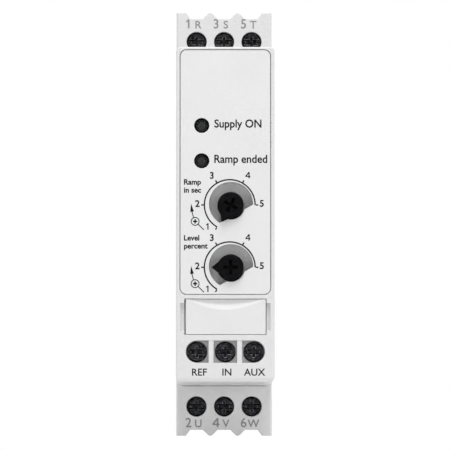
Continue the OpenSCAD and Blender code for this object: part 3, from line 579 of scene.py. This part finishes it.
lampStyle = {"height": 1.77 * mm, "bold": 0.018, "widen": 0.94, "finish": "blackInk", "slot": "panel_foil",
             "right": 2.88 * mm, "above": 0.42 * mm}
lampWords = {"powerLampWords": ("power_lamp", "Supply ON"), "runLampWords": ("run_lamp", "Ramp ended")}
for name, (lamp, words) in lampWords.items():
    centre = sum(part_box(lamp), Vector()) / 2
    x, z = centre.x + lampStyle["right"], centre.z + lampStyle["above"]
    addWords(name, words, lampStyle, x, z, panelY, "left")

# Control terminals: a word under each screw, a little to the right of its middle
controlStyle = {"height": 1.55 * mm, "bold": 0.012, "widen": 1.0, "finish": "blackInk",
                "slot": "cover_plastic", "below": 4.68 * mm}
controlMarks = (("REF", 0.6 * mm), ("IN", 0.35 * mm), ("AUX", 0.15 * mm))
for i, (words, shift) in enumerate(controlMarks, 1):
    x, _, z = joints[f"control_screw_{i}_turn"]["pos_m"]
    addWords(f"controlMark{i}", words, controlStyle, x + shift, z - controlStyle["below"], frontY)

# Power terminals: a number and a smaller letter on one line, further out than the screw
poleNumberStyle = {"height": 2.15 * mm, "bold": 0.012, "widen": 0.95, "finish": "greyInk",
                   "slot": "housing_plastic", "shift": -1.9 * mm}
poleLetterStyle = {"height": 1.76 * mm, "bold": 0.012, "widen": 1.0, "finish": "greyInk",
                   "slot": "housing_plastic", "shift": 0.42 * mm}
poleMarks = {"line": (4.28 * mm, (("1", "R"), ("3", "S"), ("5", "T"))),
             "load": (-3.8 * mm, (("2", "U"), ("4", "V"), ("6", "W")))}
for group, (away, marks) in poleMarks.items():
    for i, (number, letter) in enumerate(marks, 1):
        x, _, z = joints[f"{group}_screw_{i}_turn"]["pos_m"]
        foot = z + away - poleNumberStyle["height"] / 2
        addFigure(f"{group}Number{i}", number, poleNumberStyle, x + poleNumberStyle["shift"],
                  z + away, fenceY)
        addWords(f"{group}Letter{i}", letter, poleLetterStyle, x + poleLetterStyle["shift"],
                 foot + poleLetterStyle["height"] / 2, fenceY)
print("marks printed")


# Stage: a white floor that only shows from above, and a plain white surround
stageLook = {"floorDrop": 4.5 * mm, "floorSize": 4.0, "floor": "#fafafa", "floorRoughness": 0.8,
             "ambient": 0.385}


def addFloor():
    material, tree = newMaterial("studioFloor")
    shader = addNode(tree, "ShaderNodeBsdfPrincipled",
                     {"Base Color": linear(stageLook["floor"]), "Roughness": stageLook["floorRoughness"]})
    clear = addNode(tree, "ShaderNodeBsdfTransparent")
    side = addNode(tree, "ShaderNodeNewGeometry")
    mix = addNode(tree, "ShaderNodeMixShader",
                  links={0: side.outputs["Backfacing"], 1: shader.outputs["BSDF"], 2: clear.outputs["BSDF"]})
    addNode(tree, "ShaderNodeOutputMaterial", links={"Surface": mix.outputs["Shader"]})
    bm = bmesh.new()
    bmesh.ops.create_grid(bm, x_segments=1, y_segments=1, size=stageLook["floorSize"] / 2)
    bmesh.ops.translate(bm, vec=(0, 0, cadBox[0].z - stageLook["floorDrop"]), verts=bm.verts)
    mesh = bpy.data.meshes.new("studioFloor")
    bm.to_mesh(mesh)
    bm.free()
    mesh.materials.append(material)
    floor = bpy.data.objects.new("studioFloor", mesh)
    bpy.context.scene.collection.objects.link(floor)


# The surround is white to the eye and in reflections, and a weaker ambient light to everything else
def setWorld():
    world = bpy.data.worlds.new("whiteSurround")
    bpy.context.scene.world = world
    world.use_nodes = True
    tree = world.node_tree
    tree.nodes.clear()
    rays = addNode(tree, "ShaderNodeLightPath")
    sight = rays.outputs["Is Camera Ray"]
    for kind in ("Is Glossy Ray", "Is Transmission Ray"):
        either = addNode(tree, "ShaderNodeMath", {"operation": "MAXIMUM"}, {0: sight, 1: rays.outputs[kind]})
        sight = either.outputs["Value"]
    seen = addNode(tree, "ShaderNodeBackground", {"Color": (1, 1, 1, 1), "Strength": 1.0})
    ambient = addNode(tree, "ShaderNodeBackground", {"Color": (1, 1, 1, 1), "Strength": stageLook["ambient"]})
    mix = addNode(tree, "ShaderNodeMixShader",
                  links={0: sight, 1: ambient.outputs["Background"], 2: seen.outputs["Background"]})
    addNode(tree, "ShaderNodeOutputWorld", links={"Surface": mix.outputs["Shader"]})


# Places, aims and sizes in metres, powers in watts
lamps = {
    "overheadSoftbox": {"place": (0.05, -0.38, 0.75), "aim": (0, -0.08, 0), "size": 0.35, "power": 4.1},
    "rightSoftbox": {"place": (1.0, -0.7, 0.1), "aim": (0, -0.06, 0), "size": 0.6, "power": 2.8},
    "leftSoftbox": {"place": (-1.0, -0.7, 0.1), "aim": (0, -0.06, 0), "size": 0.6, "power": 2.0},
}


def addLamp(name, look):
    data = bpy.data.lights.new(name, "AREA")
    data.shape = "SQUARE"
    data.size = look["size"]
    data.energy = look["power"]
    lamp = bpy.data.objects.new(name, data)
    place = Vector(look["place"])
    lamp.location = place
    lamp.rotation_euler = (Vector(look["aim"]) - place).to_track_quat("-Z", "Y").to_euler()
    bpy.context.scene.collection.objects.link(lamp)


# Camera: a long lens in front of the module and a little below it
cameraLook = {"elevation": -3.8, "azimuth": -0.5, "distance": 960 * mm, "pixelsPerMm": 4.38, "imageSize": 450,
              "aimX": -0.08 * mm, "aimZ": -2.59 * mm, "sensor": 36.0, "farthest": 20}


def addCamera():
    data = bpy.data.cameras.new("frontCamera")
    data.sensor_width = cameraLook["sensor"]
    pixels = cameraLook["pixelsPerMm"] * cameraLook["distance"] / mm
    data.lens = pixels * cameraLook["sensor"] / cameraLook["imageSize"]
    data.clip_end = cameraLook["farthest"]
    camera = bpy.data.objects.new("frontCamera", data)
    aim = Vector((cameraLook["aimX"], frontY, cameraLook["aimZ"]))
    rise = math.radians(cameraLook["elevation"])
    turn = math.radians(cameraLook["azimuth"])
    back = Vector((math.sin(turn) * math.cos(rise), -math.cos(turn) * math.cos(rise), math.sin(rise)))
    camera.location = aim + back * cameraLook["distance"]
    camera.rotation_euler = (-back).to_track_quat("-Z", "Y").to_euler()
    bpy.context.scene.collection.objects.link(camera)
    bpy.context.scene.camera = camera


addFloor()
setWorld()
for name, look in lamps.items():
    addLamp(name, look)
addCamera()
bpy.context.scene.view_settings.view_transform = "Standard"
print("stage set")
